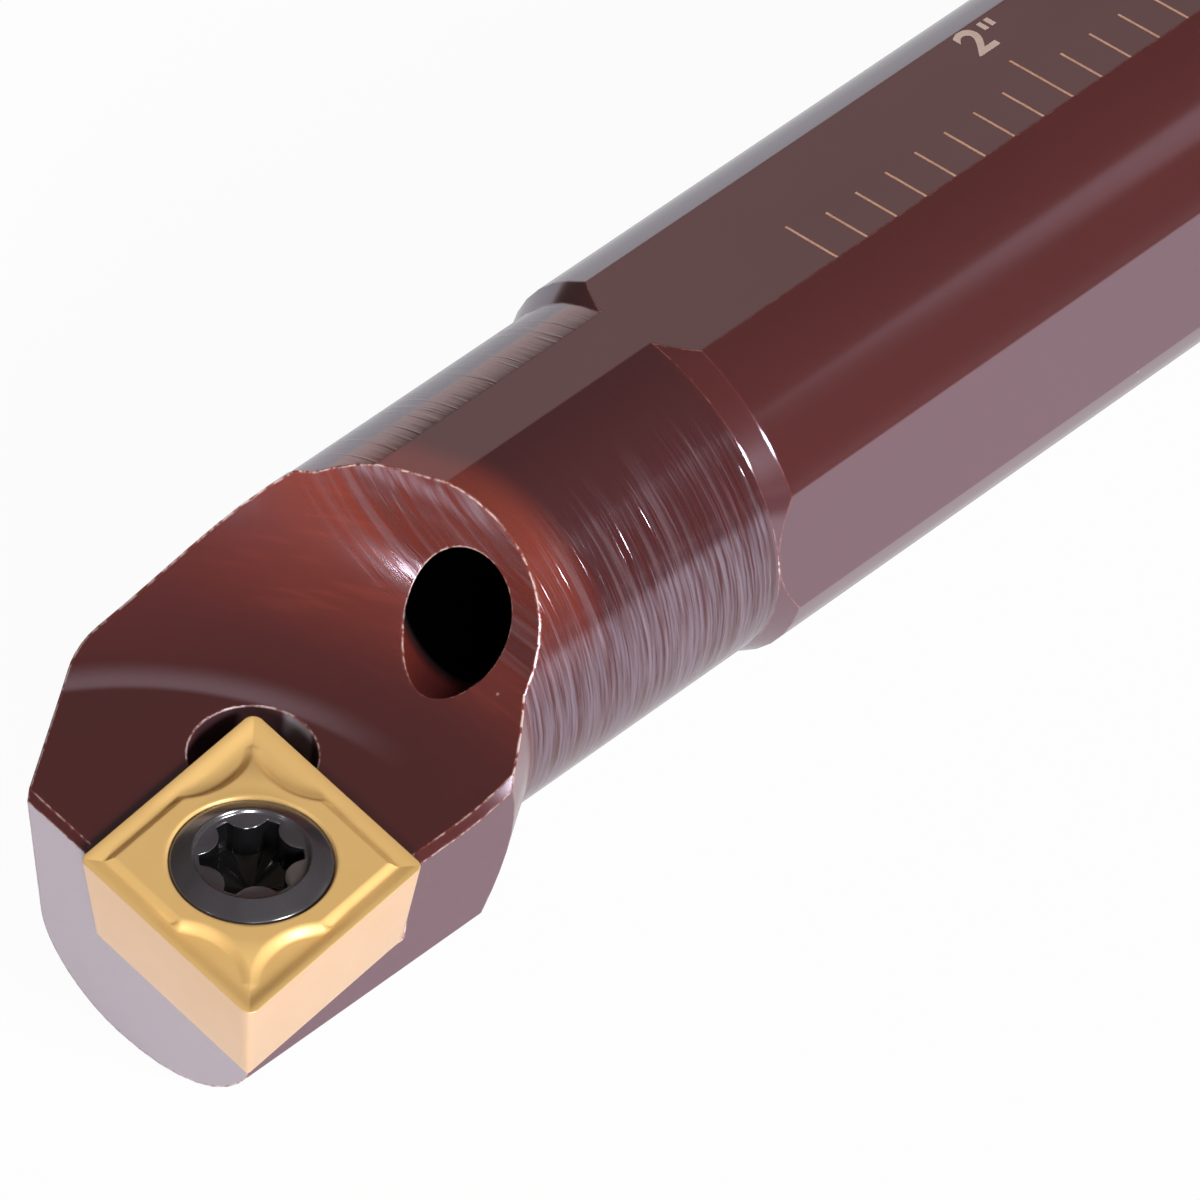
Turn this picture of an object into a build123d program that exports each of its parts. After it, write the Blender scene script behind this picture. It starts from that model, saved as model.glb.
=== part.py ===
import os
from math import cos, radians, sin, tan

from build123d import *

# Boring bar, right hand, with a screwed-on 80 degree rhombic insert. Millimetres and degrees.
# The origin is the middle of the shank's rear face, +X runs to the cutting head, +Z is the rake side
# and the cutting corner stands out on the +Y side, its tip on the level of the bar's axis.

inch = 25.4
clear_of_part = 30.0  # how far a cutter reaches past the surface it cuts
same_direction_angle = 0.5

# Turned bar
overall_length = 8 * inch
shank_radius = 5 / 8 * inch / 2
rear_chamfer = 0.8
neck_radius = 7.45
shoulder_from_tip = 30.9
shoulder_length = 0.9
neck_end_from_tip = 17.2

# Flats that the clamping screws of a tool post bear on
flat_height = 7.33
side_flat_distance = 7.46

# Head, turned off-centre towards the cutting side
head_radius = 8.67
head_offset = 1.6
head_cone_angle = 32.0
nose_offset = 10.6
lead_angle = 4.0
front_setback = 0.72
front_clearance_angle = 4.3
side_setback = 1.4
side_lead_angle = 0.6
side_clearance_angle = 7.0
flank_angle = 33.5
flank_from_axis = 2.8
flank_lean = 2.3
flank_blend_radius = 3.5
edge_bevel = 0.3

# Rake land and chip gullet
rake_tilt = 8.3
land_drop = 0.3
gullet_floor_radius = 13.7
gullet_wall_radius = 8.0
gullet_ahead_of_tip = 1.35
gullet_from_tip_line = 4.7
gullet_cutter_height = 14.0

# Insert: 3/8 inch inscribed circle, 80 degree corner, 7 degree clearance
insert_circle_radius = 3 / 8 * inch / 2
insert_corner_angle = 80.0
insert_corner_radius = 0.4
insert_thickness = 5 / 32 * inch
insert_clearance_angle = 7.0
insert_hole_radius = 2.2
countersink_radius = 3.1
countersink_half_angle = 30.0
edge_rim = 0.12
groove_floor_inset = 0.62
groove_inset = 0.95
groove_depth = 0.15
plateau_rise = 0.18
scoop_start = 2.95
scoop_tip = 5.7

# Pocket, open from the insert's rear corner out past the front and the side
pocket_reach = 17.0
relief_radius = 2.4
relief_from_insert_centre = 5.55
relief_extra_depth = 0.3

# Insert screw
screw_major_radius = 1.95
screw_hole_clearance = 0.05
screw_head_radius = 2.87
screw_rim_height = 0.18
screw_crown_height = 0.4
screw_length = 8.0
screw_tip_chamfer = 0.4
socket_recess_radius = 2.1
socket_recess_depth = 0.18
socket_tip_radius = 1.9
socket_waist_radius = 1.38
socket_flute_radius = 0.86
socket_tip_rounding = 0.2
socket_turn = 6.0
socket_depth = 1.7
socket_lobes = 6

# Coolant way
coolant_radius = 2.5
outlet_radius = 2.12
coolant_end_from_tip = 25.0
outlet_from_tip = 17.0
outlet_to_tip_side = 3.6
outlet_above_axis = 3.2
outlet_turn_to_tip_side = 20.0
outlet_turn_up = 5.0
outlet_drilled_back = 9.5
outlet_open_reach = 6.0
port_radius = 4.4
port_depth = 11.0
port_chamfer = 0.6

# Places along the bar, from the rear face
shoulder_x = overall_length - shoulder_from_tip
neck_start_x = shoulder_x + shoulder_length
neck_end_x = overall_length - neck_end_from_tip
coolant_end_x = overall_length - coolant_end_from_tip

# The rake plane holds the cutting edges: it passes through the tip and leans towards the tip side
rake_plane = Plane(
    origin=(overall_length, nose_offset, 0),
    x_dir=(1, 0, 0),
    z_dir=(0, sin(radians(rake_tilt)), cos(radians(rake_tilt))),
)
land_plane = rake_plane.offset(-land_drop)

# Insert proportions, worked out from its inscribed circle
half_corner = radians(insert_corner_angle / 2)
insert_half_long = insert_circle_radius / sin(half_corner)
insert_half_short = insert_circle_radius / cos(half_corner)
corner_round_to_centre = insert_half_long - insert_corner_radius / sin(half_corner)
corner_bisector = 90 - insert_corner_angle / 2 - lead_angle
corner_round_centre = Vector(-insert_corner_radius, -insert_corner_radius)
insert_centre = rake_plane.from_local_coords(
    corner_round_centre - Vector(corner_round_to_centre, 0).rotate(Axis.Z, corner_bisector)
)
insert_plane = Plane(
    origin=insert_centre,
    x_dir=rake_plane.x_dir.rotate(Axis((0, 0, 0), rake_plane.z_dir), corner_bisector),
    z_dir=rake_plane.z_dir,
)
pocket_floor = insert_plane.offset(-insert_thickness)
insert_top = insert_plane.offset(plateau_rise)
insert_axis = Axis(insert_plane.origin, insert_plane.z_dir)


def section_of(plane):
    """The plane square to another that holds its origin, its x direction and its normal."""
    return Plane(origin=plane.origin, x_dir=plane.x_dir, z_dir=-plane.y_dir)


def rhombus(inset=0.0):
    """Corners of the insert's outline, moved in from its edges by inset."""
    long_corner = insert_half_long - inset / sin(half_corner)
    short_corner = insert_half_short - inset / cos(half_corner)
    return [(long_corner, 0), (0, short_corner), (-long_corner, 0), (0, -short_corner)]


# ---------------------------------------------------------------- bar body
with BuildPart() as bar_body:
    # Head blank: an off-centre round whose back is turned to a cone about the bar's own axis
    with BuildSketch(Plane.YZ.offset(neck_end_x)):
        with Locations((head_offset, 0)):
            Circle(head_radius)
    extrude(amount=neck_end_from_tip)
    cone_rim = head_radius + 2 * head_offset
    cone_end_x = neck_end_x + (cone_rim - neck_radius) / tan(radians(head_cone_angle))
    with BuildSketch(Plane.XZ):
        with BuildLine():
            Polyline((neck_end_x, neck_radius), (cone_end_x, cone_rim), (neck_end_x, cone_rim), close=True)
        make_face()
    revolve(axis=Axis.X, mode=Mode.SUBTRACT)

    # Front face, side face and the slanted flank opposite the cutting corner
    lead_slope = tan(radians(lead_angle))
    front_x = overall_length - front_setback
    front_face = Plane(
        origin=(front_x, nose_offset, 0),
        z_dir=(1, -lead_slope, -tan(radians(front_clearance_angle))),
    )
    side_face = Plane(
        origin=(overall_length, nose_offset - side_setback, 0),
        z_dir=(-tan(radians(side_lead_angle)), 1, -tan(radians(side_clearance_angle))),
    )
    flank_x = front_x - (nose_offset + flank_from_axis) * lead_slope
    flank_face = Plane(
        origin=(flank_x, -flank_from_axis, 0),
        z_dir=(sin(radians(flank_angle)), -cos(radians(flank_angle)), tan(radians(flank_lean))),
    )
    for face_plane in (front_face, side_face, flank_face):
        split(bisect_by=face_plane, keep=Keep.BOTTOM)
    flank = bar_body.faces().filter_by(
        lambda face: face.normal_at().get_angle(flank_face.z_dir) < same_direction_angle
    )
    flank_rim = flank.edges().filter_by(GeomType.ELLIPSE)
    fillet(flank_rim, flank_blend_radius)

    # Shank, shoulder and neck, turned in one setting
    with BuildSketch(Plane.XZ):
        with BuildLine():
            Polyline(
                (0, 0),
                (0, shank_radius - rear_chamfer),
                (rear_chamfer, shank_radius),
                (shoulder_x, shank_radius),
                (neck_start_x, neck_radius),
                (neck_end_x, neck_radius),
                (neck_end_x, 0),
                close=True,
            )
        make_face()
    revolve(axis=Axis.X)

    # Flats: top and bottom run on over the neck, the one on the tip side ends on the shoulder
    with BuildSketch(Plane.YZ):
        with Locations((0, flat_height + clear_of_part / 2), (0, -flat_height - clear_of_part / 2)):
            Rectangle(clear_of_part, clear_of_part)
    extrude(amount=neck_end_x, mode=Mode.SUBTRACT)
    with BuildSketch(Plane.YZ):
        with Locations((side_flat_distance + clear_of_part / 2, 0)):
            Rectangle(clear_of_part, clear_of_part)
    extrude(amount=neck_start_x, mode=Mode.SUBTRACT)

    # Rake land and chip gullet: the path of one round-cornered cutter about an axis square to the land
    gullet_plane = Plane(
        origin=land_plane.from_local_coords((gullet_ahead_of_tip, -gullet_from_tip_line, 0)),
        x_dir=land_plane.x_dir,
        z_dir=land_plane.z_dir,
    )
    wall_top = (gullet_floor_radius + gullet_wall_radius, gullet_wall_radius)
    with BuildSketch(section_of(gullet_plane)):
        with BuildLine():
            Line((0, 0), (gullet_floor_radius, 0))
            RadiusArc((gullet_floor_radius, 0), wall_top, -gullet_wall_radius)
            Polyline(wall_top, (wall_top[0], gullet_cutter_height), (0, gullet_cutter_height), (0, 0))
        make_face()
    revolve(axis=Axis(gullet_plane.origin, gullet_plane.z_dir), mode=Mode.SUBTRACT)

    # Insert pocket: two walls that match the insert's rear flanks, open to the front and the side
    back_corner = Vector(-insert_half_long, 0)
    left_corner = back_corner + Vector(pocket_reach, 0).rotate(Axis.Z, insert_corner_angle / 2)
    right_corner = back_corner + Vector(pocket_reach, 0).rotate(Axis.Z, -insert_corner_angle / 2)
    with BuildSketch(insert_plane):
        with BuildLine():
            Polyline(back_corner, right_corner, left_corner + right_corner - back_corner, left_corner, close=True)
        make_face()
    extrude(amount=-insert_thickness, taper=insert_clearance_angle, mode=Mode.SUBTRACT)
    with BuildSketch(insert_plane):
        with Locations((-relief_from_insert_centre, 0)):
            Circle(relief_radius)
    extrude(amount=-insert_thickness - relief_extra_depth, mode=Mode.SUBTRACT)

    # Small bevel where the land meets the front and the side
    for face_plane in (front_face, side_face):
        meeting_edges = bar_body.edges().filter_by(
            lambda edge: all(
                abs(plane.to_local_coords(corner.center()).Z) < edge_bevel / 10
                for corner in edge.vertices()
                for plane in (land_plane, face_plane)
            )
        )
        chamfer(meeting_edges, edge_bevel)

    # Tapped hole for the insert screw, right through the seat
    with BuildSketch(pocket_floor):
        Circle(screw_major_radius + screw_hole_clearance)
    extrude(amount=-clear_of_part, mode=Mode.SUBTRACT)

    # Coolant way: tapped port, long bore on the axis and a slanted outlet in the gullet's wall
    with BuildSketch(Plane.YZ):
        Circle(coolant_radius)
    extrude(amount=coolant_end_x, mode=Mode.SUBTRACT)
    outlet_plane = Plane(
        origin=(overall_length - outlet_from_tip, outlet_to_tip_side, outlet_above_axis),
        z_dir=(1, tan(radians(outlet_turn_to_tip_side)), tan(radians(outlet_turn_up))),
    )
    with BuildSketch(outlet_plane.offset(-outlet_drilled_back)):
        Circle(outlet_radius)
    extrude(amount=outlet_drilled_back + outlet_open_reach, mode=Mode.SUBTRACT)
    with BuildSketch(Plane.XZ):
        with BuildLine():
            Polyline(
                (0, 0),
                (0, port_radius + port_chamfer),
                (port_chamfer, port_radius),
                (port_depth, port_radius),
                (port_depth + port_radius - coolant_radius, coolant_radius),
                (port_depth + port_radius - coolant_radius, 0),
                close=True,
            )
        make_face()
    revolve(axis=Axis.X, mode=Mode.SUBTRACT)

bar_body.part.label = "bar_body"

# ---------------------------------------------------------------- insert
with BuildPart() as insert:
    with BuildSketch(insert_plane):
        Polygon(*rhombus(), align=None)
        fillet(vertices(), insert_corner_radius)
    extrude(amount=-insert_thickness, taper=insert_clearance_angle)

    # Chip groove: slopes down from the cutting edge, then a steep back wall up to the middle
    with BuildSketch(insert_plane):
        Polygon(*rhombus(edge_rim), align=None)
    with BuildSketch(insert_plane.offset(-groove_depth)):
        Polygon(*rhombus(groove_floor_inset), align=None)
    loft(mode=Mode.SUBTRACT)
    with BuildSketch(pocket_floor):
        with BuildLine():
            start_half_width = (insert_half_short - groove_inset / cos(half_corner)) * (
                1 - scoop_start / (insert_half_long - groove_inset / sin(half_corner))
            )
            for toward_tip in (1, -1):
                for side in (1, -1):
                    TangentArc(
                        (toward_tip * scoop_tip, 0),
                        (toward_tip * scoop_start, side * start_half_width),
                        tangent=(-toward_tip, 0),
                    )
            for side in (1, -1):
                Polyline(
                    (scoop_start, side * start_half_width),
                    (0, side * (insert_half_short - groove_inset / cos(half_corner))),
                    (-scoop_start, side * start_half_width),
                )
        make_face()
    extrude(amount=insert_thickness + plateau_rise)

    # Screw hole with its cone for the screw's head
    with BuildSketch(section_of(insert_top)):
        with BuildLine():
            cone_depth = (countersink_radius - insert_hole_radius) / tan(radians(countersink_half_angle))
            Polyline(
                (0, 0),
                (countersink_radius, 0),
                (insert_hole_radius, -cone_depth),
                (insert_hole_radius, -insert_thickness - plateau_rise),
                (0, -insert_thickness - plateau_rise),
                close=True,
            )
        make_face()
    revolve(axis=insert_axis, mode=Mode.SUBTRACT)

insert.part.label = "insert"

# ---------------------------------------------------------------- insert screw
with BuildPart() as insert_screw:
    # The head's cone lies on the insert's cone and its crown slopes up to the socket; the shank passes down
    # into the bar
    seat_slope = tan(radians(countersink_half_angle))
    head_edge_depth = (countersink_radius - screw_head_radius) / seat_slope
    head_rim_depth = head_edge_depth - screw_rim_height
    head_top_depth = head_rim_depth - screw_crown_height
    shank_top_depth = (countersink_radius - screw_major_radius) / seat_slope
    screw_end_depth = head_top_depth + screw_length
    with BuildSketch(section_of(insert_top)):
        with BuildLine():
            Polyline(
                (0, -head_top_depth),
                (socket_recess_radius, -head_top_depth),
                (screw_head_radius, -head_rim_depth),
                (screw_head_radius, -head_edge_depth),
                (screw_major_radius, -shank_top_depth),
                (screw_major_radius, screw_tip_chamfer - screw_end_depth),
                (screw_major_radius - screw_tip_chamfer, -screw_end_depth),
                (0, -screw_end_depth),
                close=True,
            )
        make_face()
    revolve(axis=insert_axis)

    # Six-lobe socket below a shallow round recess
    socket_plane = insert_top.offset(-head_top_depth)
    with BuildSketch(socket_plane):
        Circle(socket_recess_radius)
    extrude(amount=-socket_recess_depth, mode=Mode.SUBTRACT)
    with BuildSketch(socket_plane):
        Circle(socket_tip_radius)
        with PolarLocations(socket_waist_radius + socket_flute_radius, socket_lobes, start_angle=socket_turn):
            Circle(socket_flute_radius, mode=Mode.SUBTRACT)
        fillet(vertices(), socket_tip_rounding)
    extrude(amount=-socket_depth, mode=Mode.SUBTRACT)

insert_screw.part.label = "insert_screw"

os.makedirs("parts", exist_ok=True)
export_step(bar_body.part, "parts/bar_body.step")
export_step(insert.part, "parts/insert.step")
export_step(insert_screw.part, "parts/insert_screw.step")
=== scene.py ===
from math import atan2, cos, exp, log, pi, radians, sin, sqrt, tan

import bmesh
import bpy
from mathutils import Matrix, Quaternion, Vector


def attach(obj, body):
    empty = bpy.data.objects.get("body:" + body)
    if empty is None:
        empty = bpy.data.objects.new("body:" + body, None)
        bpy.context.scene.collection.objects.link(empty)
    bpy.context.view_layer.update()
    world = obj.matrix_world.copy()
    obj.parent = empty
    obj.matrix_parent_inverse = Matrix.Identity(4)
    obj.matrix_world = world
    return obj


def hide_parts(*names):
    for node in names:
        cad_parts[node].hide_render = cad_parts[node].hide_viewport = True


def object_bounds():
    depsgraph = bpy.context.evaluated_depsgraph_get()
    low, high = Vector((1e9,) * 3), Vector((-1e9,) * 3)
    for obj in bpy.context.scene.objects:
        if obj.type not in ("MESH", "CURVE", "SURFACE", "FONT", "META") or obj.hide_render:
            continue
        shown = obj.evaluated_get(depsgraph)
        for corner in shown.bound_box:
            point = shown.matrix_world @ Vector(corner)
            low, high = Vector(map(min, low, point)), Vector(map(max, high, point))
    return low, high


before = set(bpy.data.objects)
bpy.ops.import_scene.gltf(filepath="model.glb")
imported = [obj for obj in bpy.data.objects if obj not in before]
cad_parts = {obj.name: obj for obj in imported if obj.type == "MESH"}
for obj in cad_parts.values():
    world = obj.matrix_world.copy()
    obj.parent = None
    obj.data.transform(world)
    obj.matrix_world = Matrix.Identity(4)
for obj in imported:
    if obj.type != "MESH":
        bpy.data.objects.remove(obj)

mm = 0.001
inch = 25.4  # in millimetres, as every size below
scene = bpy.context.scene
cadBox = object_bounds()
print("frame loaded")


def hexColour(code):
    # sRGB hex to linear
    parts = [int(code[i:i + 2], 16) / 255 for i in (1, 3, 5)]
    return [p / 12.92 if p <= 0.04045 else ((p + 0.055) / 1.055) ** 2.4 for p in parts] + [1]


def addNode(tree, kind, inputs=None, **settings):
    # one node; an input is a number, a hex colour, a socket, or a node whose live output feeds it
    node = tree.nodes.new(kind)
    for name, value in settings.items():
        setattr(node, name, value)
    for name, value in (inputs or {}).items():
        if isinstance(value, bpy.types.Node):
            value = next(output for output in value.outputs if output.enabled)
        if isinstance(value, bpy.types.NodeSocket):
            tree.links.new(value, node.inputs[name])
        else:
            node.inputs[name].default_value = hexColour(value) if isinstance(value, str) else value
    return node


def newMaterial(name):
    material = bpy.data.materials.new(name)
    material.use_nodes = True
    material.node_tree.nodes.clear()
    return material, material.node_tree


def makePiece(name, bm, materials, sharpAngle=35):
    # bmesh to a finished piece that rides on the bar
    bmesh.ops.recalc_face_normals(bm, faces=bm.faces)
    mesh = bpy.data.meshes.new(name)
    bm.to_mesh(mesh)
    bm.free()
    for polygon in mesh.polygons:
        polygon.use_smooth = True
    mesh.set_sharp_from_angle(angle=radians(sharpAngle))
    for material in materials:
        mesh.materials.append(material)
    piece = bpy.data.objects.new(name, mesh)
    scene.collection.objects.link(piece)
    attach(piece, "root")
    print(name, "made,", len(mesh.polygons), "faces")
    return piece


def smoothStep(low, high, value):
    t = min(max((value - low) / (high - low), 0), 1)
    return t * t * (3 - 2 * t)


# camera: a long lens that looks down on the head from the cutting side; mm and degrees
cameraView = {
    "position": (395.15, 247.13, 281.23),
    "azimuth": 48.377,
    "elevation": 40.836,
    "roll": -4.557,
    "lens": 348.91,
}
azimuth, elevation = radians(cameraView["azimuth"]), radians(cameraView["elevation"])
towardCamera = Vector((cos(elevation) * cos(azimuth), cos(elevation) * sin(azimuth), sin(elevation)))
turn = towardCamera.to_track_quat("Z", "Y") @ Quaternion((0, 0, 1), radians(cameraView["roll"]))
camera = bpy.data.objects.new("camera", bpy.data.cameras.new("camera"))
camera.data.sensor_width = 36
camera.data.lens = cameraView["lens"]
camera.data.clip_start = 0.01
camera.data.clip_end = 20
camera.matrix_world = Matrix.Translation(Vector(cameraView["position"]) * mm) @ turn.to_matrix().to_4x4()
scene.collection.objects.link(camera)
scene.camera = camera
print("camera set")

# where the head's features lie, in mm and degrees
headShape = {
    "tip": (203.2, 10.6, 0.0),
    "rakeTilt": 8.3,
    "leadAngle": 4.0,
    "cornerAngle": 80.0,
    "cornerRadius": 0.4,
    "circleRadius": 3 / 8 * inch / 2,
    "gulletAheadOfTip": 1.35,
    "gulletFromTipLine": 4.7,
    "gulletFloorRadius": 13.7,
    "gulletWallRadius": 8.0,
    "neckStart": 173.2,
    "neckEnd": 186.0,
    "flatHeight": 7.33,
    "shankRadius": 5 / 8 * inch / 2,
    "reliefRadius": 2.4,
    "reliefFromCentre": 5.55,
    "outletRadius": 2.12,
    "outletLip": 186.3,  # the bore is painted black as shade behind this X
    "outletPoint": (186.2, 3.6, 3.2),
    "outletWay": (1, tan(radians(20)), tan(radians(5))),
}
tip = Vector(headShape["tip"])
tilt = Matrix.Rotation(-radians(headShape["rakeTilt"]), 3, "X")  # the rake plane leans towards the tip side
halfCorner = radians(headShape["cornerAngle"] / 2)
bisector = radians(90 - headShape["cornerAngle"] / 2 - headShape["leadAngle"])
roundToCentre = (headShape["circleRadius"] - headShape["cornerRadius"]) / sin(halfCorner)
insertCentre = tip + tilt @ Vector((
    -headShape["cornerRadius"] - roundToCentre * cos(bisector),
    -headShape["cornerRadius"] - roundToCentre * sin(bisector),
    0,
))
insertPlace = (
    Matrix.Scale(mm, 4)
    @ Matrix.Translation(insertCentre)
    @ (tilt @ Matrix.Rotation(bisector, 3, "Z")).to_4x4()
)

# burgundy oxide coat on hardened and ground steel: a thin dark red-brown skin with a wet gloss;
# painted paler on the front faces and the neck's turned rings as reflection, redder in the gullet, behind its
# rim and along edges as painted glow and highlight, and black in the outlet bore as painted shade
coatFinish = {
    "skin": "#4F201E",
    "skinDeep": "#3F1919",
    "neckSkin": "#371A1E",
    "gulletRedGlow": "#662820",
    "litRedSkin": "#8A3A2A",
    "wornEdgeHighlight": "#FFE6DE",
    "frontFaceReflection": "#B2A6AD",
    "paleReflectionSkin": "#94838C",
    "speck": "#B89A92",
    "boreSkin": "#060505",
    "gloss": "#F0E8FF",
    "ior": 2.6,
    "mirrorLevel": 0.5,
    "crestMirror": 0.256,  # added to the mirror level on the crests of the turned rings
    "grooveMirror": -0.384,  # and in their grooves
    "roughness": 0.12,
    "specksPerMm": 0.24,
    "speckCore": 0.012,  # in shares of the specks' spacing
    "speckRim": 0.02,
    "cloudSize": 6.0,  # millimetres, as every size and depth below
    # turned and milled lines lie about 0.1 mm apart, too fine to show, so most are drawn at twice that
    "crestPitch": 0.11,
    "ringPitch": 0.17,
    "ringDepth": 0.010,
    "threadPitch": 0.2,
    "burrPitch": 0.24,
    "burrDepth": 0.007,
    "peelSize": 1.4,
    "peelDepth": 0.0014,
    "millPitch": 0.2,
    "millDepth": 0.0016,
    "gulletPitch": 0.25,
    "gulletDepth": 0.005,
    "dotSize": 0.3,
    "edgeRound": 0.13,
    "edgeWidth": 0.2,
}
coat, tree = newMaterial("burgundyOxideCoatedSteel")
coords = addNode(tree, "ShaderNodeTexCoord")
inMetres = coords.outputs["Object"]
inMm = addNode(tree, "ShaderNodeVectorMath", {0: inMetres, "Scale": 1 / mm}, operation="SCALE")
place = addNode(tree, "ShaderNodeSeparateXYZ", {0: inMm})
facing = addNode(tree, "ShaderNodeSeparateXYZ", {0: coords.outputs["Normal"]})
level = addNode(tree, "ShaderNodeMath", {0: facing.outputs["Z"]}, operation="ABSOLUTE")

# places told by their distance from the axis that cut them: a point on it and its way
gulletCentre = tip + tilt @ Vector((headShape["gulletAheadOfTip"], -headShape["gulletFromTipLine"], 0))
toRelief = Matrix.Rotation(bisector, 3, "Z") @ Vector((-headShape["reliefFromCentre"], 0, 0))
reliefCentre = insertCentre + tilt @ toRelief
cutterAxes = {
    "gullet": (gulletCentre, tilt @ Vector((0, 0, 1))),
    "outlet": (Vector(headShape["outletPoint"]), Vector(headShape["outletWay"]).normalized()),
    "relief": (reliefCentre, tilt @ Vector((0, 0, 1))),
}
fromAxis = {}
for name, (point, way) in cutterAxes.items():
    offset = addNode(tree, "ShaderNodeVectorMath", {0: inMm, 1: point}, operation="SUBTRACT")
    across = addNode(tree, "ShaderNodeVectorMath", {0: offset, 1: way}, operation="CROSS_PRODUCT")
    fromAxis[name] = addNode(tree, "ShaderNodeVectorMath", {0: across}, operation="LENGTH")

# where each finish lies: every row is a value and the range over which the finish comes in
floorEdge = headShape["gulletFloorRadius"]
wallEdge = floorEdge + headShape["gulletWallRadius"]
neckStart, neckEnd = headShape["neckStart"], headShape["neckEnd"]
outletRadius, reliefRadius = headShape["outletRadius"], headShape["reliefRadius"]
behindHead = (place.outputs["X"], neckEnd + 0.9, neckEnd - 0.6)
onHead = (place.outputs["X"], neckEnd - 1.0, neckEnd - 0.2)
zones = {
    "neck": ((place.outputs["X"], neckStart - 0.2, neckStart + 0.3), behindHead, (level, 0.996, 0.985)),
    "milled": ((place.outputs["X"], neckEnd + 1.0, neckEnd + 1.6), (level, 0.35, 0.2)),
    # front faces: painted paler, as the reflection of the white floor in front
    "front": ((facing.outputs["X"], 0.93, 0.98),),
    # the gullet's wall towards the front on the tip side: painted lighter red glow where the lamps light it
    "gullet": (
        (fromAxis["gullet"], floorEdge + 0.5, floorEdge + 5.0),
        (fromAxis["gullet"], wallEdge + 0.5, wallEdge + 0.2),
        onHead,
        (facing.outputs["X"], 0.25, 0.6),
        (place.outputs["Y"], -9.0, -1.5),
    ),
    # inside the coolant outlet, behind its lip: painted black as shade
    "bore": (
        (fromAxis["outlet"], outletRadius + 0.05, outletRadius + 0.01),
        (place.outputs["X"], headShape["outletLip"] + 0.7, headShape["outletLip"]),
        (place.outputs["X"], neckEnd - 10.0, neckEnd - 9.0),
    ),
    # the cone behind the head: painted red glow
    "cone": ((facing.outputs["X"], -0.15, -0.4), onHead),
    "neckLines": ((place.outputs["X"], neckStart, neckStart + 0.3), behindHead, (level, 0.9, 0.55)),
    # a band behind the gullet's rim: painted red glow
    "behindRimGlow": (
        (fromAxis["gullet"], wallEdge + 1.8, wallEdge + 0.2),
        (place.outputs["Z"], 0.5, 6.0),
        (facing.outputs["X"], 0.2, 0.1),
        (place.outputs["X"], neckEnd - 7.0, neckEnd - 5.0),
        (place.outputs["X"], neckEnd + 1.0, neckEnd + 0.5),
    ),
    # a band inside the gullet's rim: painted red glow
    "insideRimGlow": (
        (fromAxis["gullet"], wallEdge - 3.2, wallEdge - 0.8),
        (place.outputs["X"], neckEnd + 3.0, neckEnd),
        (place.outputs["X"], neckEnd - 7.0, neckEnd - 6.0),
        (facing.outputs["X"], 0.25, 0.6),
    ),
    # where the gullet's floor starts to curve: a painted pale reflection line
    "curveStartReflection": (
        (fromAxis["gullet"], floorEdge - 0.2, floorEdge + 0.15),
        (fromAxis["gullet"], floorEdge + 1.3, floorEdge + 0.2),
        onHead,
        (place.outputs["Y"], 6.0, -1.0),
        (facing.outputs["Z"], 0.9, 0.95),
    ),
    # the relief pocket behind the insert: painted half black as shade
    "relief": (
        (fromAxis["relief"], reliefRadius + 0.04, reliefRadius + 0.01),
        (facing.outputs["Z"], -0.5, -0.2),
    ),
}
masks = {}
for name, rows in zones.items():
    mask = 1.0
    for value, low, high in rows:
        limits = {"Value": value, "From Min": low, "From Max": high}
        step = addNode(tree, "ShaderNodeMapRange", limits, interpolation_type="SMOOTHSTEP")
        mask = addNode(tree, "ShaderNodeMath", {0: mask, 1: step}, operation="MULTIPLY")
    masks[name] = mask

# noise patterns: what they read, how they are stretched, their grain in mm and their detail
gulletLines = addNode(tree, "ShaderNodeCombineXYZ", {"X": fromAxis["gullet"], "Y": place.outputs["Z"]})
patterns = {
    "clouds": (inMm, (0.5, 1, 1), coatFinish["cloudSize"], 3.0),
    "peel": (inMm, (0.6, 1, 1), coatFinish["peelSize"], 2.0),
    "rings": (inMm, (1, 0.05, 0.05), coatFinish["ringPitch"], 3.0),
    "threads": (inMm, (1, 0.02, 0.02), coatFinish["threadPitch"], 2.0),
    "crests": (inMm, (1, 0.04, 0.04), coatFinish["crestPitch"], 2.0),
    "burrs": (inMm, (1, 0.035, 0.035), coatFinish["burrPitch"], 2.0),
    "milling": (inMm, (1, 1, 0.03), coatFinish["millPitch"], 2.0),
    "gulletLines": (gulletLines, (1, 0.6, 1), coatFinish["gulletPitch"], 2.0),
    "dots": (inMm, (1, 1, 1), coatFinish["dotSize"], 2.0),
}
noise = {}
for name, (source, stretch, grain, detail) in patterns.items():
    stretched = addNode(tree, "ShaderNodeVectorMath", {0: source, 1: stretch}, operation="MULTIPLY")
    settings = {"Vector": stretched, "Scale": 1 / grain, "Detail": detail}
    noise[name] = addNode(tree, "ShaderNodeTexNoise", settings)

# edges are told by how far a rounded normal turns away from the face's own
wideEdge = addNode(tree, "ShaderNodeBevel", {"Radius": coatFinish["edgeWidth"] * mm}, samples=6)
trueNormal = addNode(tree, "ShaderNodeNewGeometry").outputs["True Normal"]
edgeTurn = addNode(tree, "ShaderNodeVectorMath", {0: wideEdge, 1: trueNormal}, operation="DOT_PRODUCT")

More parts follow.
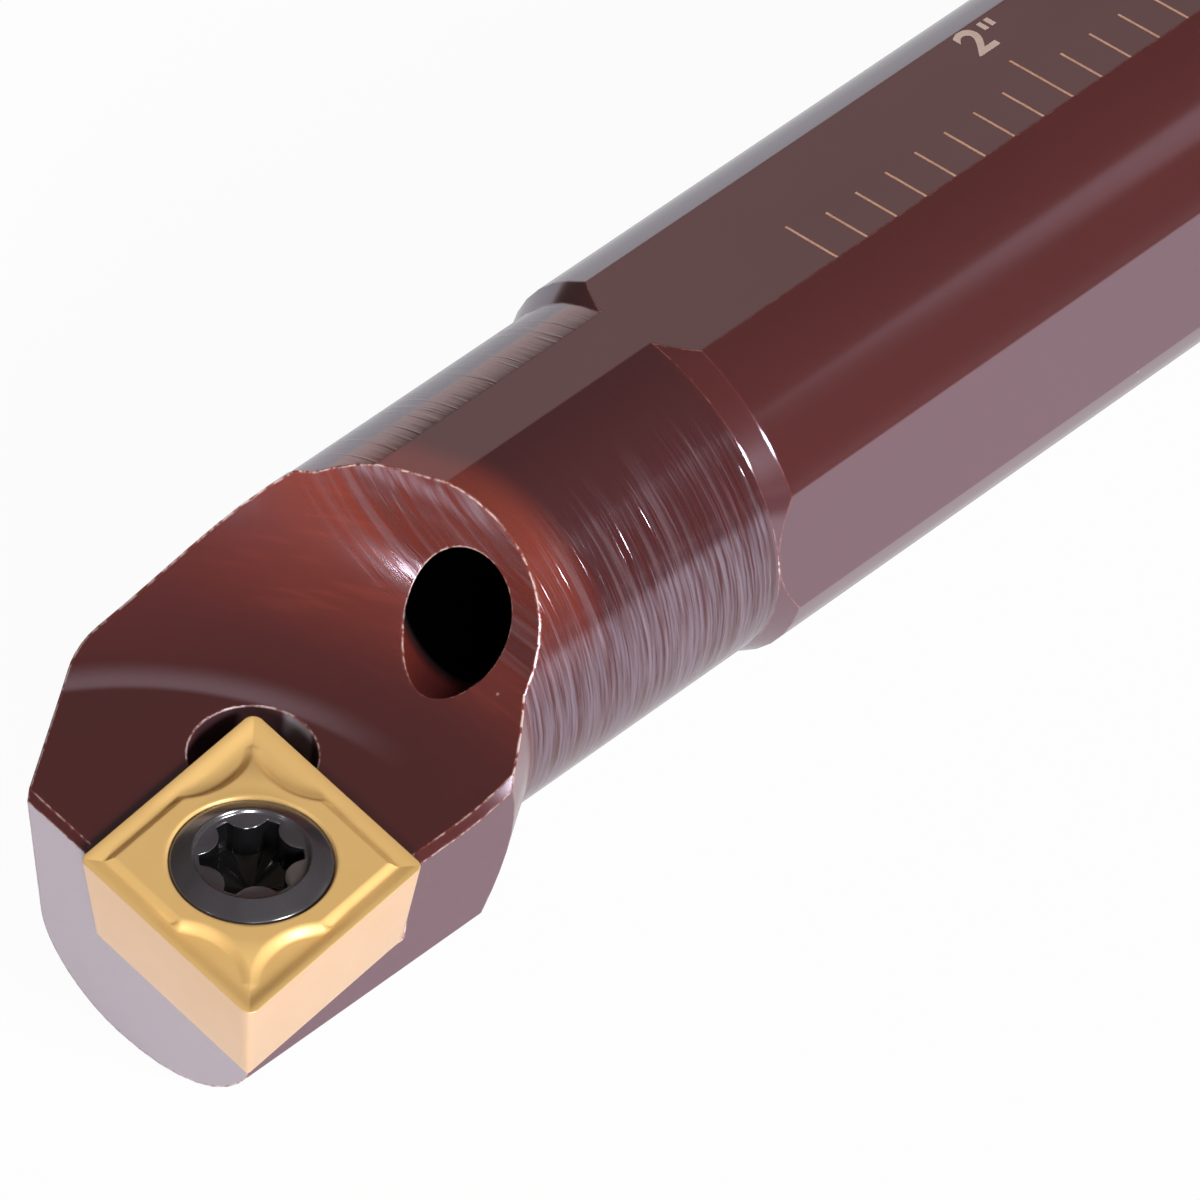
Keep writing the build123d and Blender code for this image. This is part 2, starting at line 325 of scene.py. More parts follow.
# what is drawn of a noise or an edge: its value and the range over which it comes in
drawn = {
    "threads": (noise["threads"], 0.5, 0.68),
    "arcs": (noise["gulletLines"], 0.52, 0.64),
    "burrs": (noise["burrs"], 0.55, 0.66),
    # a band along every edge, painted lighter red as the edges' highlight
    "nearEdgeHighlight": (edgeTurn, 0.985, 0.9),
    "sharpEdge": (edgeTurn, 0.93, 0.86),
}
for name, (value, low, high) in drawn.items():
    limits = {"Value": value, "From Min": low, "From Max": high}
    drawn[name] = addNode(tree, "ShaderNodeMapRange", limits, interpolation_type="SMOOTHSTEP")
# the turned rings on the neck's lower side drawn as paler lines: painted reflection streaks
rings = {0: drawn["threads"], 1: masks["neckLines"]}
ringReflectionStreaks = addNode(tree, "ShaderNodeMath", rings, operation="MULTIPLY")
# the gullet's milling arcs, drawn in the same painted lit red
gulletArcs = addNode(tree, "ShaderNodeMath", {0: drawn["arcs"], 1: masks["gullet"]}, operation="MULTIPLY")

# relief: what stands out, where, and by how many mm
relief = addNode(tree, "ShaderNodeMath", {0: noise["peel"], 1: coatFinish["peelDepth"]}, operation="MULTIPLY")
for pattern, mask, depth in (
    (noise["rings"], masks["neck"], coatFinish["ringDepth"]),
    (drawn["burrs"], masks["neck"], coatFinish["burrDepth"]),
    (noise["milling"], masks["milled"], coatFinish["millDepth"]),
    (noise["gulletLines"], masks["gullet"], coatFinish["gulletDepth"]),
):
    part = addNode(tree, "ShaderNodeMath", {0: pattern, 1: mask}, operation="MULTIPLY")
    relief = addNode(tree, "ShaderNodeMath", {0: part, 1: depth, 2: relief}, operation="MULTIPLY_ADD")
softEdge = addNode(tree, "ShaderNodeBevel", {"Radius": coatFinish["edgeRound"] * mm}, samples=6)
settings = {"Height": relief, "Distance": mm, "Strength": 1.0, "Normal": softEdge}
bump = addNode(tree, "ShaderNodeBump", settings)

# colour, laid on in turn: where, how strongly and which; sharp edges get near-white dots, partly worn coat
# and partly painted highlight;
# the gullet, the cone, the rims and the edges get painted red glow, the front faces and the neck's rings
# painted pale reflection, the bore and the relief pocket painted shade
dots = addNode(tree, "ShaderNodeMapRange", {"Value": noise["dots"], "From Min": 0.42, "From Max": 0.55})
bright = addNode(tree, "ShaderNodeMath", {0: drawn["sharpEdge"], 1: dots}, operation="MULTIPLY")
cells = addNode(tree, "ShaderNodeTexVoronoi", {"Vector": inMm, "Scale": coatFinish["specksPerMm"]})
limits = {"Value": cells, "From Min": coatFinish["speckRim"], "From Max": coatFinish["speckCore"]}
specks = addNode(tree, "ShaderNodeMapRange", limits)
skin = coatFinish["skin"]
for amount, share, colour in (
    (noise["clouds"], 0.7, coatFinish["skinDeep"]),
    (masks["neck"], 0.5, coatFinish["neckSkin"]),
    (masks["gullet"], 0.9, coatFinish["gulletRedGlow"]),
    (masks["cone"], 0.8, coatFinish["gulletRedGlow"]),
    (masks["behindRimGlow"], 0.6, coatFinish["litRedSkin"]),
    (masks["insideRimGlow"], 0.4, coatFinish["litRedSkin"]),
    (masks["curveStartReflection"], 0.32, coatFinish["paleReflectionSkin"]),
    (gulletArcs, 0.22, coatFinish["litRedSkin"]),
    (masks["front"], 0.9, coatFinish["frontFaceReflection"]),
    (ringReflectionStreaks, 0.18, coatFinish["paleReflectionSkin"]),
    (drawn["nearEdgeHighlight"], 0.8, coatFinish["litRedSkin"]),
    (bright, 0.95, coatFinish["wornEdgeHighlight"]),
    (specks, 0.5, coatFinish["speck"]),
    (masks["relief"], 0.5, coatFinish["boreSkin"]),
    (masks["bore"], 1.0, coatFinish["boreSkin"]),
):
    factor = addNode(tree, "ShaderNodeMath", {0: amount, 1: share}, operation="MULTIPLY")
    skin = addNode(tree, "ShaderNodeMix", {0: factor, 6: skin, 7: colour}, data_type="RGBA")

# gloss: where the coat is duller, and by how much
sheen = coatFinish["roughness"]
for amount, change in (
    (noise["clouds"], 0.05),
    (masks["front"], 0.12),
    (masks["gullet"], 0.05),
    (masks["bore"], 0.4),
    (masks["relief"], 0.3),
):
    sheen = addNode(tree, "ShaderNodeMath", {0: amount, 1: change, 2: sheen}, operation="MULTIPLY_ADD")
# the turned rings mirror more on their crests than in their grooves
ringSwing = addNode(tree, "ShaderNodeMapRange", {
    "Value": noise["crests"], "From Min": 0.35, "From Max": 0.65,
    "To Min": coatFinish["grooveMirror"], "To Max": coatFinish["crestMirror"],
})
swing = {0: ringSwing, 1: masks["neckLines"], 2: coatFinish["mirrorLevel"]}
mirroring = addNode(tree, "ShaderNodeMath", swing, operation="MULTIPLY_ADD")
# the shaded bore is also made a black metal, so it mirrors nothing either
shader = addNode(tree, "ShaderNodeBsdfPrincipled", {
    "Base Color": skin, "Roughness": sheen, "Normal": bump, "Metallic": masks["bore"],
    "Specular IOR Level": mirroring, "IOR": coatFinish["ior"], "Specular Tint": coatFinish["gloss"],
})
addNode(tree, "ShaderNodeOutputMaterial", {"Surface": shader})
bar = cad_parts["bar_body"].data
bar.materials.clear()
bar.materials.append(coat)
print("bar coated")

# titanium nitride on sintered carbide: warm gold, satin on the pressed top, brighter on the ground flanks;
# black oxide on the alloy steel screw: dark with a slightly oily gloss, greyer outside, with a darker copy
# painted inside the socket as shade;
# laser marks: pale copper where the skin is burnt through, dry and matt.
# The grain of pressed and ground carbide is a few thousandths of a mm, too fine to show, so it is drawn
# at 0.05 mm and 0.08 mm, and the laser's 0.05 mm steps at 0.12 mm
sheenSwing = 0.08  # how far the roughness of each varies
finishes = {
    "titaniumNitridePressedCarbide": {
        "light": "#F2C985", "dark": "#E6BC74", "metallic": 0.25, "roughness": 0.42, "ior": 1.5,
        "stretch": (1, 1, 1), "grain": 0.05, "depth": 0.0008, "cloud": 2.5,
    },
    "titaniumNitrideGroundCarbide": {
        "light": "#F4CFB0", "dark": "#F0C9A4", "metallic": 0.75, "roughness": 0.3, "ior": 1.5,
        "stretch": (0.1, 0.1, 1), "grain": 0.08, "depth": 0.0006, "cloud": 2.0,
    },
    "blackOxideSteelOutside": {
        "light": "#3E3C41", "dark": "#2A292D", "metallic": 0.0, "roughness": 0.2, "ior": 2.2,
        "stretch": (1, 1, 1), "grain": 0.6, "depth": 0.006, "cloud": 1.0,
    },
    "blackOxideSteelSocketShade": {
        "light": "#101012", "dark": "#0A0A0B", "metallic": 0.0, "roughness": 0.2, "ior": 1.8,
        "stretch": (1, 1, 1), "grain": 0.6, "depth": 0.006, "cloud": 1.0,
    },
    "laserBurntCopperLine": {
        "light": "#E6BCA0", "dark": "#BC8468", "metallic": 0.0, "roughness": 0.6, "ior": 1.5,
        "stretch": (1, 1, 1), "grain": 0.12, "depth": 0.002, "cloud": 0.3,
    },
    "laserBurntPaleNumeral": {
        "light": "#E4CEC4", "dark": "#CCB0A4", "metallic": 0.0, "roughness": 0.6, "ior": 1.5,
        "stretch": (1, 1, 1), "grain": 0.12, "depth": 0.002, "cloud": 0.3,
    },
}
made = {}
for name, finish in finishes.items():
    made[name], tree = newMaterial(name)
    coords = addNode(tree, "ShaderNodeTexCoord")
    inMetres = coords.outputs["Object"]
    inMm = addNode(tree, "ShaderNodeVectorMath", {0: inMetres, "Scale": 1 / mm}, operation="SCALE")
    lines = addNode(tree, "ShaderNodeVectorMath", {0: inMm, 1: finish["stretch"]}, operation="MULTIPLY")
    grain = addNode(tree, "ShaderNodeTexNoise", {"Vector": lines, "Scale": 1 / finish["grain"]})
    cloud = addNode(tree, "ShaderNodeTexNoise", {"Vector": inMm, "Scale": 1 / finish["cloud"], "Detail": 3.0})
    tone = addNode(tree, "ShaderNodeMix", {0: cloud, 6: finish["light"], 7: finish["dark"]}, data_type="RGBA")
    swing = {0: cloud, 1: sheenSwing, 2: finish["roughness"] - sheenSwing / 2}
    sheen = addNode(tree, "ShaderNodeMath", swing, operation="MULTIPLY_ADD")
    settings = {"Height": grain, "Distance": finish["depth"] * mm, "Strength": 1.0}
    bump = addNode(tree, "ShaderNodeBump", settings)
    shader = addNode(tree, "ShaderNodeBsdfPrincipled", {
        "Base Color": tone, "Roughness": sheen, "Normal": bump,
        "Metallic": finish["metallic"], "IOR": finish["ior"],
    })
    addNode(tree, "ShaderNodeOutputMaterial", {"Surface": shader})
print("finishes made")

# insert: pressed chip groove with a pointed scoop pair at each sharp corner, ground flanks; mm and degrees
insertShape = {
    "thickness": 5 / 32 * inch,
    "clearance": 7.0,
    "hone": 0.03,
    "footRounding": 0.12,  # of the corners at the underside
    "landWidth": 0.125,
    "grooveFloorInset": 0.77,
    "grooveInset": 0.95,
    "grooveDepth": 0.09,
    "plateauRise": 0.13,
    "wallWidth": 0.3,
    "wallCrest": 0.08,
    "scoopStart": 2.95,  # from the middle, towards a sharp corner, as the next ones
    "scoopTip": 5.7,
    "spineStart": 3.75,
    "spineEnd": 5.9,
    "bowlStart": 2.05,
    "bowlEnd": 3.25,
    "bowlInset": (0.1, 1.0),
    "scoopWallWidth": 0.375,
    "scoopDepth": 0.10,
    "spineFall": 0.85,
    "holeRadius": 2.2,
    "countersinkRadius": 3.1,
    "countersinkHalfAngle": 30.0,
    "holeLip": 0.06,
    "turnSteps": 480,
    "topSteps": 62,
    "rimCrowding": 0.8,  # below 1 the rows crowd towards the rim
    "cornerCrowding": 0.11,
    "mergeWithin": 0.0004,
}
seatSlope = tan(radians(insertShape["countersinkHalfAngle"]))


def outlineRadius(angle, circle, rounding):
    # distance from the middle to a rhombus with rounded corners, in a given direction
    x, y = abs(cos(angle)), abs(sin(angle))
    normalX, normalY = sin(halfCorner), cos(halfCorner)
    distance = circle / (x * normalX + y * normalY)
    for cornerX, cornerY in (((circle - rounding) / normalX, 0), (0, (circle - rounding) / normalY)):
        # the straight edge ends where the corner's round touches it
        touchX, touchY = cornerX + rounding * normalX, cornerY + rounding * normalY
        beyond = x * touchY < y * touchX if cornerX == 0 else x * touchY > y * touchX
        if beyond:
            towards = x * cornerX + y * cornerY
            distance = towards + sqrt(towards ** 2 - cornerX ** 2 - cornerY ** 2 + rounding ** 2)
    return distance


def insertHeight(x, y):
    # the pressed top at a place: land, slope, groove, then the back wall up to the plateau
    shape = insertShape
    x, y = abs(x), abs(y)
    inset = headShape["circleRadius"] - (x * sin(halfCorner) + y * cos(halfCorner))
    height = -shape["grooveDepth"] * smoothStep(shape["landWidth"], shape["grooveFloorInset"], inset)
    plateauCircle = headShape["circleRadius"] - shape["grooveInset"]
    halfWidth = (plateauCircle - shape["scoopStart"] * sin(halfCorner)) / cos(halfCorner)
    reach = shape["scoopTip"] - shape["scoopStart"]
    scoopRadius = (reach ** 2 + halfWidth ** 2) / (2 * halfWidth)
    straight = inset - shape["grooveInset"]
    fromScoop = sqrt((x - shape["scoopTip"]) ** 2 + (y - scoopRadius) ** 2) - scoopRadius
    onPlateau = min(fromScoop, straight) if x < shape["scoopTip"] else shape["scoopTip"] - x - y
    wall = shape["wallWidth"] if x < shape["scoopStart"] else shape["scoopWallWidth"]
    rise = smoothStep(-wall, shape["wallCrest"], onPlateau)
    rise *= 1 - shape["spineFall"] * smoothStep(shape["spineStart"], shape["spineEnd"], x)
    bowl = smoothStep(shape["bowlStart"], shape["bowlEnd"], x) * smoothStep(*shape["bowlInset"], inset)
    height -= shape["scoopDepth"] * bowl * (1 - rise)
    return height + (shape["plateauRise"] - height) * rise


def insertStations():
    # rows of the wrapped sheet, each a place on a radial line: (kind, share, level)
    shape = insertShape
    top, lip = shape["plateauRise"], shape["holeLip"]
    coneDepth = (shape["countersinkRadius"] - shape["holeRadius"]) / seatSlope
    rows = [("hole", shape["holeRadius"], -shape["thickness"])]
    rows += [("hole", shape["holeRadius"], top - coneDepth)]
    rows += [("hole", shape["countersinkRadius"] - lip, top - lip / seatSlope)]
    rows += [("hole", shape["countersinkRadius"] - lip / 6, top - lip / 2)]
    steps = shape["topSteps"]
    rows += [("top", (i / steps) ** shape["rimCrowding"], 0) for i in range(steps + 1)]
    rows += [("edge", 0.5, 0), ("edge", 1.0, 0)]
    rows += [("flank", 1.0, -shape["thickness"])]
    return rows


def insertPoint(row, angle):
    kind, share, level = row
    shape = insertShape
    shrink = shape["thickness"] * tan(radians(shape["clearance"]))
    if kind == "hole":
        radius, z = share, level
    elif kind == "flank":
        radius, z = outlineRadius(angle, headShape["circleRadius"] - shrink, shape["footRounding"]), level
    else:
        rim = outlineRadius(angle, headShape["circleRadius"], headShape["cornerRadius"])
        if kind == "top":
            start = shape["countersinkRadius"] + shape["holeLip"] / 3
            radius = start + (rim - shape["hone"] - start) * share
            z = insertHeight(radius * cos(angle), radius * sin(angle))
        else:
            turned = share * pi / 2
            radius = rim - shape["hone"] + shape["hone"] * sin(turned)
            z = -shape["hone"] * (1 - cos(turned))
    return Vector((radius * cos(angle), radius * sin(angle), z))


rows = insertStations()
turnSteps = insertShape["turnSteps"]
bm = bmesh.new()
bmesh.ops.create_grid(bm, x_segments=turnSteps, y_segments=len(rows), size=1)
for vert in bm.verts:
    column = round((vert.co.x + 1) / 2 * turnSteps)
    line = round((vert.co.y + 1) / 2 * len(rows))
    share = column / turnSteps * 4
    quarter, rest = int(share) % 4, share - int(share)
    # the columns crowd towards the four corners
    angle = (quarter + rest - insertShape["cornerCrowding"] * sin(rest * 2 * pi)) * pi / 2
    vert.co = insertPoint(rows[line % len(rows)], angle)
bmesh.ops.remove_doubles(bm, verts=bm.verts, dist=insertShape["mergeWithin"])
deepest, rimBand = -0.4, 0.1  # away from the rim the pressed finish may lie this deep
for face in bm.faces:
    centre = face.calc_center_median()
    rim = outlineRadius(atan2(centre.y, centre.x), headShape["circleRadius"], headShape["cornerRadius"])
    inside = centre.z > deepest and centre.xy.length < rim - rimBand
    face.material_index = 0 if inside or centre.z > -insertShape["hone"] * 0.6 else 1
bmesh.ops.transform(bm, matrix=insertPlace, verts=bm.verts)
insertSkins = (made["titaniumNitridePressedCarbide"], made["titaniumNitrideGroundCarbide"])
insertPiece = makePiece("carbideInsert", bm, insertSkins, 50)
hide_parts("insert")

# screw: cone head with a sloping crown, a shallow recess and a six-lobe socket; mm and degrees
screwShape = {
    "majorRadius": 1.95,
    "headRadius": 2.98,
    "rimHeight": 0.18,
    "crownHeight": 0.4,
    "length": 8.0,
    "tipChamfer": 0.4,
    "recessRadius": 2.1,
    "recessDepth": 0.18,
    "lobeTip": 1.9,
    "lobeWaist": 1.38,
    "fluteRadius": 0.86,
    "lobeBlend": 0.06,
    "socketTurn": 6.0,
    "socketDepth": 1.7,
    "socketPoint": 0.35,
    "lobes": 6,
    "lip": 0.07,
    "softEdge": 0.06,
    "threadPitch": 0.6,
    "threadDepth": 0.3,
    "threadRows": 60,
    "runOutRows": 6,
    "turnSteps": 360,
    "mergeWithin": 0.0003,
}


def lobeRadius(angle):
    # soft least of the flutes' near sides and the round through the lobes' tips
    shape = screwShape
    flute = 2 * pi / shape["lobes"]
    away = (angle - radians(shape["socketTurn"]) + flute / 2) % flute - flute / 2
    centre = shape["lobeWaist"] + shape["fluteRadius"]
    inside = shape["fluteRadius"] ** 2 - (centre * sin(away)) ** 2
    if inside > 0:
        side = centre * cos(away) - sqrt(inside)
    else:
        side = centre * cos(away) + sqrt(-inside)
    blend = shape["lobeBlend"]
    return -blend * log(exp(-side / blend) + exp(-shape["lobeTip"] / blend))


seatTop, seatRim = insertShape["plateauRise"], insertShape["countersinkRadius"]
headRadius, majorRadius = screwShape["headRadius"], screwShape["majorRadius"]
recessRadius, lip, soft = screwShape["recessRadius"], screwShape["lip"], screwShape["softEdge"]
edgeLevel = seatTop - (seatRim - headRadius) / seatSlope
rimLevel = edgeLevel + screwShape["rimHeight"]
crownLevel = rimLevel + screwShape["crownHeight"]
floorLevel = crownLevel - screwShape["recessDepth"]
socketLevel = crownLevel - screwShape["socketDepth"]
shankLevel = seatTop - (seatRim - majorRadius) / seatSlope
endLevel = crownLevel - screwShape["length"]
# the outline from the socket's point to the shank: kind of row, radius or share of the lobes, level
rows = [
    ("lobe", 0.0, socketLevel - screwShape["socketPoint"]),
    ("lobe", 0.75, socketLevel),
    ("lobe", 0.97, socketLevel + 0.08),
    ("lobe", 1.0, socketLevel + 0.2),
    ("lobe", 1.0, floorLevel - lip),
    ("lobeOut", lip * 0.3, floorLevel - lip * 0.3),
    ("lobeOut", lip, floorLevel),
    ("round", recessRadius - soft, floorLevel + 0.01),
    ("round", recessRadius, floorLevel + soft),
    ("round", recessRadius + 0.02, crownLevel - soft),
    ("round", recessRadius + 0.09, crownLevel - 0.01),
    ("round", recessRadius + 0.2, crownLevel - 0.05),
    ("round", headRadius - 0.22, rimLevel + soft),
    ("round", headRadius - soft, rimLevel - 0.01),
    ("round", headRadius, rimLevel - 0.07),
    ("round", headRadius, edgeLevel),
    ("round", majorRadius, shankLevel),
]
threadEnd = endLevel + screwShape["tipChamfer"]
threadRows, runOut = screwShape["threadRows"], screwShape["runOutRows"]
for i in range(1, threadRows + 1):
    amount = min(i / runOut, (threadRows - i) / runOut, 1)
    rows.append(("thread", amount, shankLevel + (threadEnd - shankLevel) * i / threadRows))
rows.append(("round", majorRadius - screwShape["tipChamfer"], endLevel))
rows.append(("round", 0.0, endLevel))
bm = bmesh.new()
turnSteps = screwShape["turnSteps"]
bmesh.ops.create_grid(bm, x_segments=turnSteps, y_segments=len(rows) - 1, size=1)
for vert in bm.verts:
    angle = (vert.co.x + 1) * pi
    kind, amount, level = rows[round((vert.co.y + 1) / 2 * (len(rows) - 1))]
    if kind == "lobe":
        radius = lobeRadius(angle) * amount
    elif kind == "lobeOut":
        radius = min(lobeRadius(angle) + amount, recessRadius - 0.08)  # stays clear of the recess's wall
    elif kind == "thread":
        phase = (level / screwShape["threadPitch"] - angle / (2 * pi)) % 1
        radius = majorRadius - screwShape["threadDepth"] * amount * abs(2 * phase - 1)
    else:
        radius = amount
    vert.co = (radius * cos(angle), radius * sin(angle), level)
bmesh.ops.remove_doubles(bm, verts=bm.verts, dist=screwShape["mergeWithin"])
for face in bm.faces:
    # greyer outside; inside the socket a darker copy painted as shade
    middle = face.calc_center_median()
    inSocket = shankLevel < middle.z < floorLevel - lip * 0.6 and middle.xy.length < screwShape["lobeTip"]
    face.material_index = 1 if inSocket else 0
bmesh.ops.transform(bm, matrix=insertPlace, verts=bm.verts)
screwSkins = (made["blackOxideSteelOutside"], made["blackOxideSteelSocketShade"])
screwPiece = makePiece("insertScrew", bm, screwSkins, 50)
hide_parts("insert_screw")

# laser marks on the top flat: pale copper lines where the skin is burnt through
scale = {
    "firstMark": 1.5,  # inches behind the cutting tip
    "lastMark": 6.0,
    "perInch": 16,
    "lengths": {"short": 2.15, "half": 2.7, "whole": 3.3},  # mm, as the rest
    "fromEdge": 0.05,
    "lineWidth": 0.1,
    "thickness": 0.004,
    "numeralHeight": 1.6,
    "numeralGap": 1.1,
    "numeralStroke": 0.045,  # added all round a digit's outline
    "inchSign": {"size": (0.22, 0.5), "gap": 0.85, "apart": 0.38, "drop": 1.2},
    "mergeWithin": 0.0008,
}
digitShare = 0.7  # a digit's height in a font of size 1
flatEdge = sqrt(headShape["shankRadius"] ** 2 - headShape["flatHeight"] ** 2)
markLevel = headShape["flatHeight"] + scale["thickness"] / 2
bm = bmesh.new()
count = int((scale["lastMark"] - scale["firstMark"]) * scale["perInch"])
for i in range(count + 1):
    mark = i + int(scale["firstMark"] * scale["perInch"])
    onInch, onHalf = mark % scale["perInch"] == 0, mark * 2 % scale["perInch"] == 0
    length = scale["lengths"]["whole" if onInch else "half" if onHalf else "short"]
    x = headShape["tip"][0] - mark / scale["perInch"] * inch
    line = bmesh.ops.create_cube(bm, size=1)["verts"]
    bmesh.ops.scale(bm, verts=line, vec=(scale["lineWidth"], length, scale["thickness"]))
    bmesh.ops.translate(bm, verts=line, vec=(x, flatEdge - scale["fromEdge"] - length / 2, markLevel))
bmesh.ops.transform(bm, matrix=Matrix.Scale(mm, 4), verts=bm.verts)
makePiece("scaleLines", bm, (made["laserBurntCopperLine"],))

sign = scale["inchSign"]
numerals = bmesh.new()
for whole in range(int(scale["firstMark"]) + 1, int(scale["lastMark"]) + 1):
    curve = bpy.data.curves.new("numeral", "FONT")
    curve.body = str(whole)
    curve.size = scale["numeralHeight"] / digitShare
    curve.offset = scale["numeralStroke"]
    curve.resolution_u = 6
    curve.extrude = scale["thickness"] / 2
    curve.align_x = "CENTER"
    holder = bpy.data.objects.new("numeral", curve)
    scene.collection.objects.link(holder)
    bpy.context.view_layer.update()
    mesh = bpy.data.meshes.new_from_object(holder.evaluated_get(bpy.context.evaluated_depsgraph_get()))
    x = headShape["tip"][0] - whole * inch
    y = flatEdge - scale["lengths"]["whole"] - scale["numeralGap"]
    mesh.transform(Matrix.Translation((x, y, markLevel)) @ Matrix.Rotation(pi, 4, "Z"))
    numerals.from_mesh(mesh)
    bpy.data.objects.remove(holder)
    bpy.data.curves.remove(curve)
    bpy.data.meshes.remove(mesh)
    for i in range(2):  # the inch sign
        line = bmesh.ops.create_cube(numerals, size=1)["verts"]
        strokeAt = (x - sign["gap"] - sign["apart"] * i, y - sign["drop"], markLevel)
        bmesh.ops.scale(numerals, verts=line, vec=(*sign["size"], scale["thickness"]))
        bmesh.ops.translate(numerals, verts=line, vec=strokeAt)
bmesh.ops.remove_doubles(numerals, verts=numerals.verts, dist=scale["mergeWithin"])
bmesh.ops.transform(numerals, matrix=Matrix.Scale(mm, 4), verts=numerals.verts)
makePiece("scaleNumerals", numerals, (made["laserBurntPaleNumeral"],))

# thread in the coolant port: one helical ridge, its foot sunk in the port's wall
port = {
    "radius": 4.4,
    "depth": 11.0,
    "chamfer": 0.6,
    "start": 0.3,
    "clearEnd": 1.5,
    "pitch": 0.94,
    "ridge": 0.45,
    "sunk": 0.04,
    "footShare": 0.44,  # half of the ridge's foot and of its crest, in shares of the pitch
    "crestShare": 0.06,
    "stepsPerTurn": 48,
}
turns = int((port["depth"] - port["chamfer"] - port["clearEnd"]) / port["pitch"])
steps = port["stepsPerTurn"]
bm = bmesh.new()
corners = [
    bm.verts.new((port["chamfer"] + port["start"] + side * share * port["pitch"], 0, port["radius"] + lift))
    for side, share, lift in (
        (-1, port["footShare"], port["sunk"]),
        (1, port["footShare"], port["sunk"]),
        (1, port["crestShare"], -port["ridge"]),
        (-1, port["crestShare"], -port["ridge"]),
    )
]
section = bm.faces.new(corners)
bmesh.ops.spin(
    bm, geom=[section] + list(section.edges) + corners, cent=(0, 0, 0), axis=(1, 0, 0),
    dvec=(port["pitch"] / steps, 0, 0), angle=2 * pi * turns, steps=turns * steps,
)
bmesh.ops.transform(bm, matrix=Matrix.Scale(mm, 4), verts=bm.verts)
makePiece("portThread", bm, (coat,))

# floor: white paper that keeps the bar's shadow
floorFinish = {
    "paper": "#F2F2F2",
    "whiteShare": 0.96,
    "halfSize": 6.0,  # metres
    "mirrored": 0.84,  # how bright the bar mirrors the paper in the light pool, and beyond it
    "beyondPool": 0.12,
    "lightPool": {"Y": (40, 80), "X": (245, 300)},  # mm over which the pool fades out
}
bm = bmesh.new()
bmesh.ops.create_grid(bm, x_segments=1, y_segments=1, size=floorFinish["halfSize"])
bmesh.ops.translate(bm, verts=bm.verts, vec=(0, 0, cadBox[0][2]))
floor = bpy.data.objects.new("floor", bpy.data.meshes.new("floor"))
bm.to_mesh(floor.data)
bm.free()
scene.collection.objects.link(floor)
paper, tree = newMaterial("whitePaperSweep")
diffuse = addNode(tree, "ShaderNodeBsdfDiffuse", {"Color": floorFinish["paper"]})
glow = addNode(tree, "ShaderNodeEmission", {"Color": "#FFFFFF", "Strength": 1.0})
path = addNode(tree, "ShaderNodeLightPath")
seen = path.outputs["Is Camera Ray"]
for kind in ("Is Glossy Ray", "Is Transmission Ray"):
    seen = addNode(tree, "ShaderNodeMath", {0: seen, 1: path.outputs[kind]}, operation="MAXIMUM")
share = addNode(tree, "ShaderNodeMath", {0: seen, 1: floorFinish["whiteShare"]}, operation="MULTIPLY")
mix = addNode(tree, "ShaderNodeMixShader", {0: share, 1: diffuse, 2: glow})
# the light pool ends in front and on the lamps' side, so what the bar mirrors of the paper there is dim
spot = addNode(tree, "ShaderNodeSeparateXYZ", {0: addNode(tree, "ShaderNodeNewGeometry").outputs["Position"]})
dim = (1 - floorFinish["mirrored"]) / (1 - floorFinish["beyondPool"])
for axis, (near, far) in floorFinish["lightPool"].items():
    limits = {"Value": spot.outputs[axis], "From Min": near * mm, "From Max": far * mm}
    fade = addNode(tree, "ShaderNodeMapRange", limits, interpolation_type="SMOOTHSTEP")
    dim = addNode(tree, "ShaderNodeMath", {0: dim, 1: fade}, operation="MAXIMUM")
dim = addNode(tree, "ShaderNodeMath", {0: dim, 1: path.outputs["Is Glossy Ray"]}, operation="MULTIPLY")
dim = addNode(tree, "ShaderNodeMath", {0: dim, 1: 1 - floorFinish["beyondPool"]}, operation="MULTIPLY")
black = addNode(tree, "ShaderNodeEmission", {"Color": "#000000"})
mix = addNode(tree, "ShaderNodeMixShader", {0: dim, 1: mix, 2: black})
addNode(tree, "ShaderNodeOutputMaterial", {"Surface": mix})
floor.data.materials.append(paper)

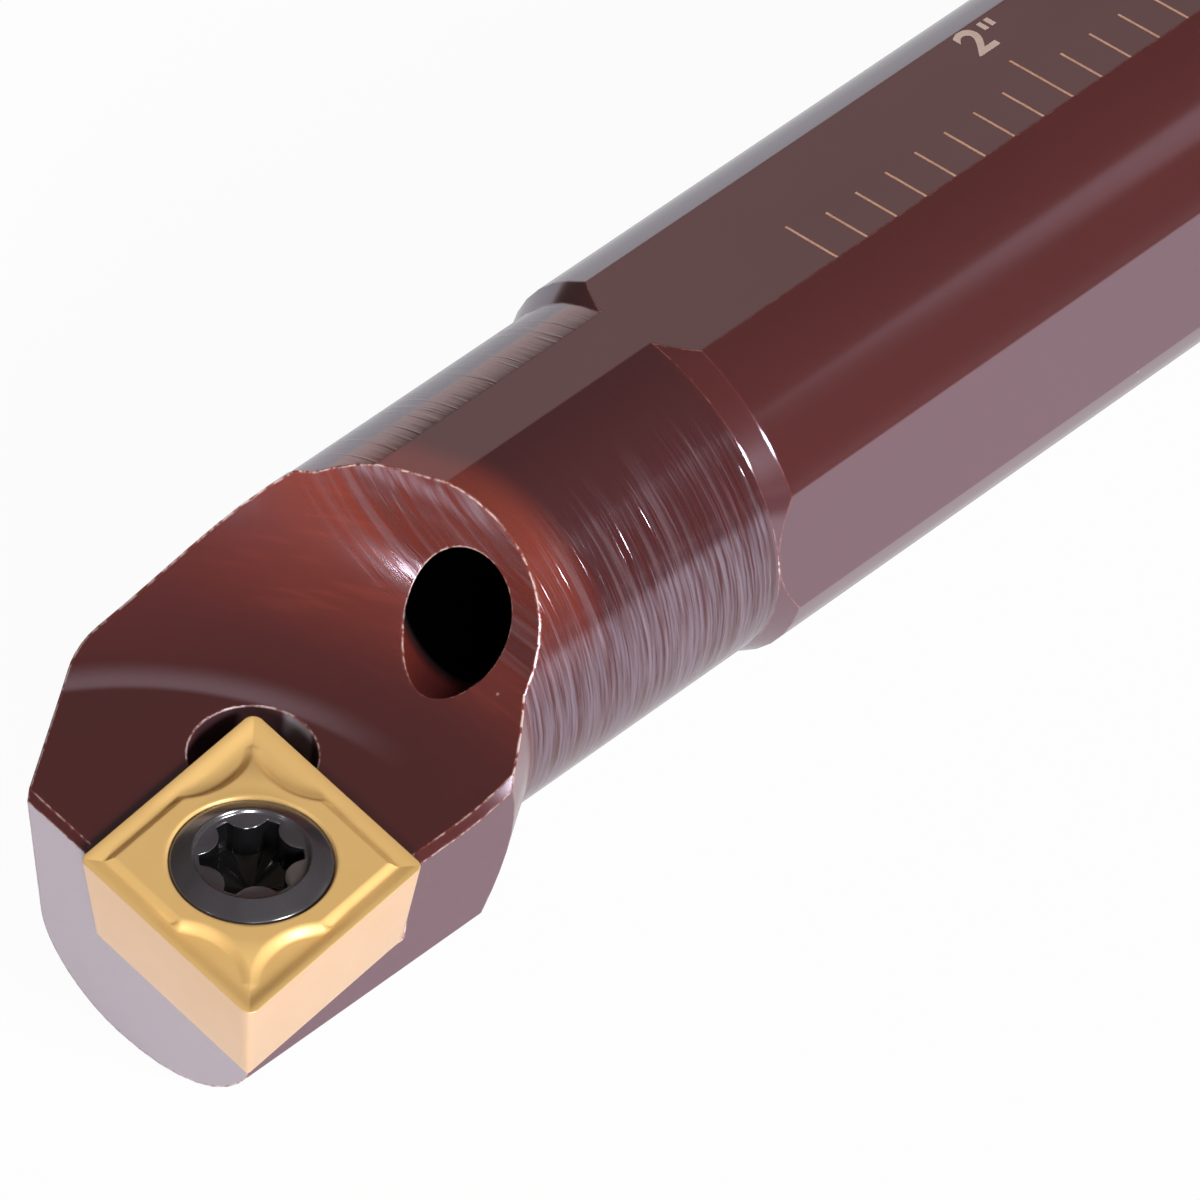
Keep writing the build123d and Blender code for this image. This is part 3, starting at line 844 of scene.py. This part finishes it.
# room: white up to the horizon, dim above it, with soft bright patches
room = {
    "light": "#FFE4D5",
    "ceiling": 0.1,
    "horizonTop": 0.012,  # sine of the elevation where the white has gone
    "patches": {  # azimuth, elevation, full within, gone beyond (degrees), strength
        "rearSoftbox": (235, 37, 7, 16, 0.36),
        "backdrop": (243, -4, 11, 26, 1.0),
    },
}
world = bpy.data.worlds.new("studio")
world.use_nodes = True
scene.world = world
tree = world.node_tree
tree.nodes.clear()
direction = addNode(tree, "ShaderNodeTexCoord").outputs["Generated"]
height = addNode(tree, "ShaderNodeSeparateXYZ", {0: direction}).outputs["Z"]
limits = {"Value": height, "From Max": room["horizonTop"], "To Min": 1.0, "To Max": room["ceiling"]}
white = addNode(tree, "ShaderNodeMapRange", limits, interpolation_type="SMOOTHSTEP")
for az, el, full, gone, strength in room["patches"].values():
    az, el = radians(az), radians(el)
    way = (cos(el) * cos(az), cos(el) * sin(az), sin(el))
    near = addNode(tree, "ShaderNodeVectorMath", {0: direction, 1: way}, operation="DOT_PRODUCT")
    gone, full = cos(radians(gone)), cos(radians(full))
    limits = {"Value": near, "From Min": gone, "From Max": full, "To Max": strength}
    patch = addNode(tree, "ShaderNodeMapRange", limits, interpolation_type="SMOOTHSTEP")
    white = addNode(tree, "ShaderNodeMath", {0: white, 1: patch}, operation="ADD")
sky = addNode(tree, "ShaderNodeBackground", {"Color": room["light"], "Strength": white})
addNode(tree, "ShaderNodeOutputWorld", {"Surface": sky})

# lamps: where each hangs and what it looks at (mm), side of its square (m) and strength (watts)
lamps = {
    "sideKey": {"hangs": (206, 720, 344), "looksAt": (190, 0, 0), "size": (0.16, 0.16), "power": 6.2},
    "frontKey": {"hangs": (670, 616, 168), "looksAt": (190, 0, 0), "size": (0.16, 0.16), "power": 5.8},
    "glintLamp": {"hangs": (723, -20, 290), "looksAt": (190, 0, 0), "size": (0.03, 0.03), "power": 0.16},
    "farStrip": {"hangs": (-224, 308, 252), "looksAt": (18, 0, 0), "size": (0.24, 0.12), "power": 0.034},
}
for name, lamp in lamps.items():
    light = bpy.data.lights.new(name, "AREA")
    light.shape = "RECTANGLE"
    light.size, light.size_y = lamp["size"]
    light.energy = lamp["power"]
    holder = bpy.data.objects.new(name, light)
    hangs = Vector(lamp["hangs"]) * mm
    way = hangs - Vector(lamp["looksAt"]) * mm
    holder.matrix_world = Matrix.Translation(hangs) @ way.to_track_quat("Z", "Y").to_matrix().to_4x4()
    scene.collection.objects.link(holder)
print("floor, room and lamps set")

scene.view_settings.view_transform = "Standard"
